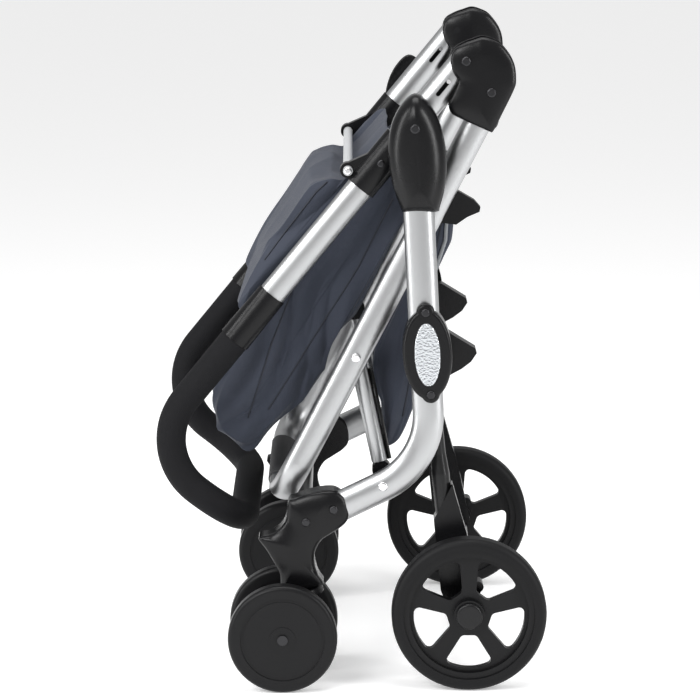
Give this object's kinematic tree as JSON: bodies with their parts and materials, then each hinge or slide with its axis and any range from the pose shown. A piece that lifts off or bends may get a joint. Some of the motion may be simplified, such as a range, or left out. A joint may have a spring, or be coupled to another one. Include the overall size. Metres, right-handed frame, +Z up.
{
  "type": "pet stroller",
  "caption": "Folded pet stroller with slate fabric, satin oval tubes, a foam handle, large spoked rear wheels and twin front casters.",
  "frame": {"origin": "on the ground, midway between the two sides and at the middle of the folded length", "axes": "+X forward in travel, +Y the stroller's left, +Z up"},
  "size_m": [0.4541, 0.5534, 0.7531],
  "materials": {
    "satin_tube": "satin anodised",
    "black_casting": "satin moulded",
    "reflector": "faceted clear",
    "rivet_steel": "bright",
    "black_tube": "semi-gloss black",
    "grey_bar": "light grey",
    "foam": "matte foam",
    "fabric": "woven slate",
    "tyre": "matte",
    "wheel_plastic": "moulded black",
    "hub": "gloss black",
    "footrest_grip": "dark grey"
  },
  "bodies": {
    "front_frame": {"front_tube_left": "satin_tube", "front_tube_right": "satin_tube", "fork_housing_left": "black_casting", "fork_housing_right": "black_casting", "front_cross_tube": "black_tube", "pivot_cover_left": "black_casting", "pivot_cover_right": "black_casting", "reflector_housings": "black_casting", "reflector_lenses": "reflector", "frame_rivets": "rivet_steel", "link_spacers": "black_casting", "basket": "fabric"},
    "fold_links": {"fold_link_left": "satin_tube", "fold_link_right": "satin_tube", "link_caps": "black_casting"},
    "seat_frame": {"seat_tube_left": "satin_tube", "seat_tube_right": "satin_tube", "knuckle_housing_left": "black_casting", "knuckle_housing_right": "black_casting", "seat_pins": "rivet_steel", "footrest_sleeve": "footrest_grip", "seat_bumpers": "black_casting", "cabin": "fabric"},
    "handle": {"slotted_tube_left": "satin_tube", "slotted_tube_right": "satin_tube", "handle_plugs": "black_casting", "handle_sleeves": "black_casting", "cross_bar": "grey_bar", "handle_screws": "rivet_steel", "pivot_washers": "black_casting", "handle_tube_left": "satin_tube", "handle_tube_right": "satin_tube", "grip_ferrules": "black_casting", "grip_core": "black_tube", "foam_grip_left": "foam", "foam_grip_right": "foam", "canopy": "fabric"},
    "rear_legs": {"rear_leg_left": "black_tube", "rear_leg_right": "black_tube", "leg_brackets": "black_casting", "axle_brackets": "black_casting", "rear_axle": "black_tube"},
    "rear_wheel_left": {"rear_rim_left": "wheel_plastic", "rear_tyre_left": "tyre", "hub_cap_left": "hub"},
    "brake_left": {"brake_lever_left": "black_casting"},
    "caster_left": {"caster_yoke_left": "black_casting", "caster_axle_left": "rivet_steel"},
    "lock_left": {"lock_pin_left": "rivet_steel"},
    "caster_wheel_outer_left_body": {"caster_wheel_outer_left": "wheel_plastic"},
    "caster_wheel_inner_left_body": {"caster_wheel_inner_left": "wheel_plastic"},
    "rear_wheel_right": {"rear_rim_right": "wheel_plastic", "rear_tyre_right": "tyre", "hub_cap_right": "hub"},
    "brake_right": {"brake_lever_right": "black_casting"},
    "caster_right": {"caster_yoke_right": "black_casting", "caster_axle_right": "rivet_steel"},
    "lock_right": {"lock_pin_right": "rivet_steel"},
    "caster_wheel_outer_right_body": {"caster_wheel_outer_right": "wheel_plastic"},
    "caster_wheel_inner_right_body": {"caster_wheel_inner_right": "wheel_plastic"}
  },
  "joints": [
    {"name": "fold", "type": "hinge", "parent": "front_frame", "child": "fold_links", "pos_m": [-0.0382, 0, 0.236], "axis": [0, 1, 0], "range_deg": [0, 80.2]},
    {"name": "seat_fold", "type": "hinge", "parent": "fold_links", "child": "seat_frame", "pos_m": [-0.007, 0, 0.3808], "axis": [0, -1, 0], "range_deg": [0, 84]},
    {"name": "handle_fold", "type": "hinge", "parent": "seat_frame", "child": "handle", "pos_m": [-0.1325, 0, 0.7265], "axis": [0, -1, 0], "range_deg": [0, 162]},
    {"name": "leg_fold", "type": "hinge", "parent": "front_frame", "child": "rear_legs", "pos_m": [-0.09, 0, 0.391], "axis": [0, 1, 0], "range_deg": [0, 46.2]},
    {"name": "rear_wheel_spin_left", "type": "hinge", "parent": "rear_legs", "child": "rear_wheel_left", "pos_m": [-0.138, 0.25, 0.09], "axis": [0, 1, 0], "continuous": true},
    {"name": "brake_press_left", "type": "hinge", "parent": "rear_legs", "child": "brake_left", "pos_m": [-0.138, 0.215, 0.09], "axis": [0, 1, 0], "range_deg": [-20, 15]},
    {"name": "caster_swivel_left", "type": "hinge", "parent": "front_frame", "child": "caster_left", "pos_m": [0.066, 0.217, 0.134], "axis": [0.284, 0, 0.9588], "continuous": true},
    {"name": "lock_slide_left", "type": "slide", "parent": "handle", "child": "lock_left", "axis": [0.6327, 0, -0.7744], "range_m": [0, 0.012], "stiffness_N_per_m": 60, "springref_m": -0.01},
    {"name": "caster_spin_outer_left", "type": "hinge", "parent": "caster_left", "child": "caster_wheel_outer_left_body", "pos_m": [0.078, 0.263, 0.0635], "axis": [0, 1, 0], "continuous": true},
    {"name": "caster_spin_inner_left", "type": "hinge", "parent": "caster_left", "child": "caster_wheel_inner_left_body", "pos_m": [0.078, 0.171, 0.0635], "axis": [0, 1, 0], "continuous": true},
    {"name": "rear_wheel_spin_right", "type": "hinge", "parent": "rear_legs", "child": "rear_wheel_right", "pos_m": [-0.138, -0.25, 0.09], "axis": [0, 1, 0], "continuous": true},
    {"name": "brake_press_right", "type": "hinge", "parent": "rear_legs", "child": "brake_right", "pos_m": [-0.138, -0.215, 0.09], "axis": [0, 1, 0], "range_deg": [-20, 15]},
    {"name": "caster_swivel_right", "type": "hinge", "parent": "front_frame", "child": "caster_right", "pos_m": [0.066, -0.217, 0.134], "axis": [0.284, 0, 0.9588], "continuous": true},
    {"name": "lock_slide_right", "type": "slide", "parent": "handle", "child": "lock_right", "axis": [0.6327, 0, -0.7744], "range_m": [0, 0.012], "stiffness_N_per_m": 60, "springref_m": -0.01},
    {"name": "caster_spin_outer_right", "type": "hinge", "parent": "caster_right", "child": "caster_wheel_outer_right_body", "pos_m": [0.078, -0.263, 0.0635], "axis": [0, 1, 0], "continuous": true},
    {"name": "caster_spin_inner_right", "type": "hinge", "parent": "caster_right", "child": "caster_wheel_inner_right_body", "pos_m": [0.078, -0.171, 0.0635], "axis": [0, 1, 0], "continuous": true}
  ],
  "couplings": [
    {"joint": "seat_fold", "follows": "fold", "ratio": 1.0436},
    {"joint": "handle_fold", "follows": "fold", "ratio": 2.01},
    {"joint": "leg_fold", "follows": "fold", "ratio": 0.5736}
  ]
}
